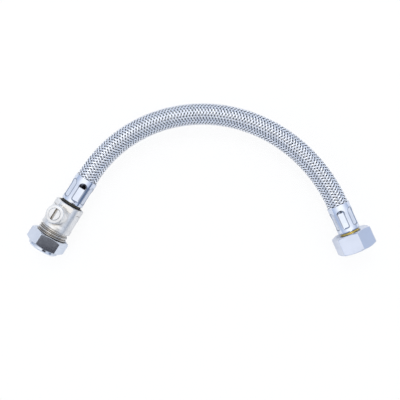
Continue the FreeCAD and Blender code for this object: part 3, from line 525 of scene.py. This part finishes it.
for node_name, node_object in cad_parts.items():
    look = LOOK_OF.get(node_name, "steel")
    node_object.data.materials.clear()
    node_object.data.materials.append(LOOKS[look])


def dress(obj, look):
    """Gives a new mesh its look."""
    obj.data.materials.append(LOOKS[look])
    return obj


# ---------------------------------------------------------------- hose
BEND_MARGIN = 0.7  # how far in from a piece's two ends the points of its ends are taken
END_GAP = 0.7  # between the hose's end and the ferrule's floor
SQUEEZE_START, SQUEEZE_END = 1.7, 3.9  # where the crimp starts and is full, inside a ferrule


def constant(value):
    return lambda u: np.full_like(u, value)


def squeezed(free, crimped, edge):
    """A radius that falls from the free hose's to the crimped one inside a ferrule."""
    full, none = edge
    return lambda u: crimped + (free - crimped) * smooth(full, none, u)


def place_on_centreline(u):
    return (centreline(np.array([u]))[0][0] * MM).tolist()


def hose_piece(name, start, end, samples, rows, braid_middle, liner_outer, liner_bore):
    """A stretch of hose: the wires of its braid, and the liner inside them."""
    wires = braid(f"braid_wires_{name}", start, end, braid_middle, samples)
    core = tube(f"liner_tube_{name}", start, end, liner_outer, liner_bore, rows)
    return dress(wires, "wire"), dress(core, "liner")


# At these two hinges the pair of bodies and the pair of ends are listed from the far link back, where
# the axis is better defined.
BLENDED_BACKWARDS = (2, 8)
chain = ["valve"] + [f"hose_link_{i:02d}" for i in range(1, HINGES)] + ["tap_end"]
for k in range(HINGES):
    low, high = k * PIECE, (k + 1) * PIECE
    wires, core = hose_piece(f"{k + 1:02d}", low, high, 52, 16, constant(BRAID_R),
                             constant(LINER_R), constant(LINER_BORE_R))
    bodies = (chain[k], chain[k + 1])
    ends = (place_on_centreline(low + BEND_MARGIN), place_on_centreline(high - BEND_MARGIN))
    if k in BLENDED_BACKWARDS:
        bodies, ends = bodies[::-1], ends[::-1]
    for piece in (wires, core):
        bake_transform(piece)
    stands_for = "valve_end" if k == 0 else f"link_{k:02d}"
    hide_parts("braid_" + stands_for)
    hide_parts("liner_" + stands_for)

# Inside the ferrules. The valve's end needs no replacing: its first piece stands for that already.
inside = FERRULE_LEN - END_GAP
for body, start, end, edge in (
    ("valve", -inside, 0.0, (-SQUEEZE_END, -SQUEEZE_START)),
    ("tap_end", LENGTH, LENGTH + inside, (LENGTH + SQUEEZE_END, LENGTH + SQUEEZE_START)),
):
    wires, core = hose_piece(body, start, end, 56, 24, squeezed(BRAID_R, CRIMP_R, edge),
                             squeezed(LINER_R, CRIMP_LINER_R, edge), constant(CRIMP_BORE_R))
    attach(wires, body)
    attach(core, body)
    if body == "tap_end":
        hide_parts("braid_tap_end")
        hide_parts("liner_tap_end")

for name, body, node, end, floor, dents in (
    ("pressed_ferrule_valve", "valve", "valve_ferrule", VALVE, VALVE_FERRULE,
     (3.1, 16.3, 2.45, 0.38, 3.3, math.radians(16.6), 7.8)),
    ("pressed_ferrule_tap", "tap_end", "tap_ferrule", TAP, TAP_FERRULE,
     (3.6, 15.9, 2.3, 0.6, 1.6, math.radians(-18.5), 7.75)),
):
    sleeve = dress(ferrule(name, end, floor, *dents), "steel")
    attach(sleeve, body)
    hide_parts(node)


# ---------------------------------------------------------------- stage
DARK = (0.05, 0.05, 0.06)
SHADE = (0.30, 0.34, 0.40)
SEE_THROUGH = 0.92  # share of the floor that the camera looks through


def make_floor():
    """A pale floor just under the object, mostly clear to the camera, so that its shadows stay faint."""
    size = 4000.0
    low = cad_box[0].z / MM - 0.05
    corners = [(-size, -size, low), (size, -size, low), (size, size, low), (-size, size, low)]
    floor = new_mesh("floor", np.array(corners), [(0, 1, 2, 3)], False)
    material = bpy.data.materials.new("floor")
    material.use_nodes = True
    nodes, links = material.node_tree.nodes, material.node_tree.links
    nodes.clear()
    output = nodes.new("ShaderNodeOutputMaterial")
    diffuse = nodes.new("ShaderNodeBsdfDiffuse")
    fine = noise(nodes, links, 4.0, Detail=2.0)
    tone = ramp(nodes, links, fine, [(0.3, (0.93, 0.93, 0.93)), (0.7, (0.96, 0.96, 0.96))])
    links.new(tone, diffuse.inputs["Color"])
    clear = nodes.new("ShaderNodeBsdfTransparent")
    mix = nodes.new("ShaderNodeMixShader")
    path = nodes.new("ShaderNodeLightPath")
    share = nodes.new("ShaderNodeMath")
    share.operation = "MULTIPLY"
    share.inputs[1].default_value = SEE_THROUGH
    links.new(path.outputs["Is Camera Ray"], share.inputs[0])
    links.new(share.outputs[0], mix.inputs["Fac"])
    links.new(diffuse.outputs[0], mix.inputs[1])
    links.new(clear.outputs[0], mix.inputs[2])
    links.new(mix.outputs[0], output.inputs["Surface"])
    floor.data.materials.append(material)


def make_world():
    """White to the camera. Reflections see a bright ceiling, dimmer blue sides, two dark cards that
    cross, and a shaded patch at one side."""
    world = bpy.data.worlds.new("studio")
    bpy.context.scene.world = world
    world.use_nodes = True
    nodes, links = world.node_tree.nodes, world.node_tree.links
    nodes.clear()
    output = nodes.new("ShaderNodeOutputWorld")
    seen = nodes.new("ShaderNodeBackground")
    seen.inputs["Color"].default_value = (1, 1, 1, 1)
    lit = nodes.new("ShaderNodeBackground")
    where = nodes.new("ShaderNodeTexCoord").outputs["Generated"]

    def towards(direction):
        dot = nodes.new("ShaderNodeVectorMath")
        dot.operation = "DOT_PRODUCT"
        links.new(where, dot.inputs[0])
        dot.inputs[1].default_value = Vector(direction).normalized()
        return dot.outputs["Value"]

    sky = ramp(nodes, links, remap(nodes, links, towards((0, 0, 1)), -1, 1, 0, 1), [
        (0.0, (0.63, 0.66, 0.70)), (0.5, (0.40, 0.47, 0.61)), (0.70, (0.52, 0.59, 0.72)),
        (0.86, (0.70, 0.74, 0.82)), (0.95, (0.92, 0.94, 0.98)), (1.0, WHITE),
    ])
    card_x = ramp(nodes, links, towards((1, 0, 0)), [
        (0.20, WHITE), (0.30, DARK), (0.60, DARK), (0.72, WHITE),
    ])
    card_y = ramp(nodes, links, towards((0, -1, 0)), [
        (0.145, WHITE), (0.175, DARK), (0.66, DARK), (0.74, WHITE),
    ])
    wide_x = ramp(nodes, links, towards((1, 0, 0)), [
        (0.06, WHITE), (0.14, DARK), (0.68, DARK), (0.80, WHITE),
    ])
    wide_y = ramp(nodes, links, towards((0, -1, 0)), [
        (0.30, WHITE), (0.36, DARK), (0.62, DARK), (0.70, WHITE),
    ])
    spot = ramp(nodes, links, towards((0.99, -0.1, 0.0)), [(0.93, WHITE), (0.97, SHADE)])
    colour = sky
    for shade in (mixed(nodes, links, "LIGHTEN", card_x, card_y),
                  mixed(nodes, links, "LIGHTEN", wide_x, wide_y), spot):
        colour = mixed(nodes, links, "MULTIPLY", colour, shade)
    links.new(colour, lit.inputs["Color"])
    lit.inputs["Strength"].default_value = 1.5
    mix = nodes.new("ShaderNodeMixShader")
    path = nodes.new("ShaderNodeLightPath")
    links.new(path.outputs["Is Camera Ray"], mix.inputs["Fac"])
    links.new(lit.outputs[0], mix.inputs[1])
    links.new(seen.outputs[0], mix.inputs[2])
    links.new(mix.outputs[0], output.inputs["Surface"])


def make_light(name, place, target, size, power):
    data = bpy.data.lights.new(name, "AREA")
    data.shape = "DISK"
    data.size = size * MM
    data.energy = power
    light = bpy.data.objects.new(name, data)
    light.location = Vector(place) * MM
    light.rotation_mode = "QUATERNION"
    light.rotation_quaternion = (Vector(target) - Vector(place)).to_track_quat("-Z", "Y")
    bpy.context.scene.collection.objects.link(light)


def make_camera():
    """Straight above the object, turned so that the hose arches over its two ends."""
    data = bpy.data.cameras.new("camera")
    data.lens = 50.0
    data.sensor_width = 36.0
    camera = bpy.data.objects.new("camera", data)
    camera.location = Vector((73.06, 70.47, 381.0)) * MM
    camera.rotation_euler = (0, 0, math.radians(32.65))
    bpy.context.scene.collection.objects.link(camera)
    bpy.context.scene.camera = camera


make_floor()
make_world()
make_light("key", (-250, 420, 800), (80, 60, 0), 240, 1.2)
make_camera()
bpy.context.scene.view_settings.view_transform = "Standard"
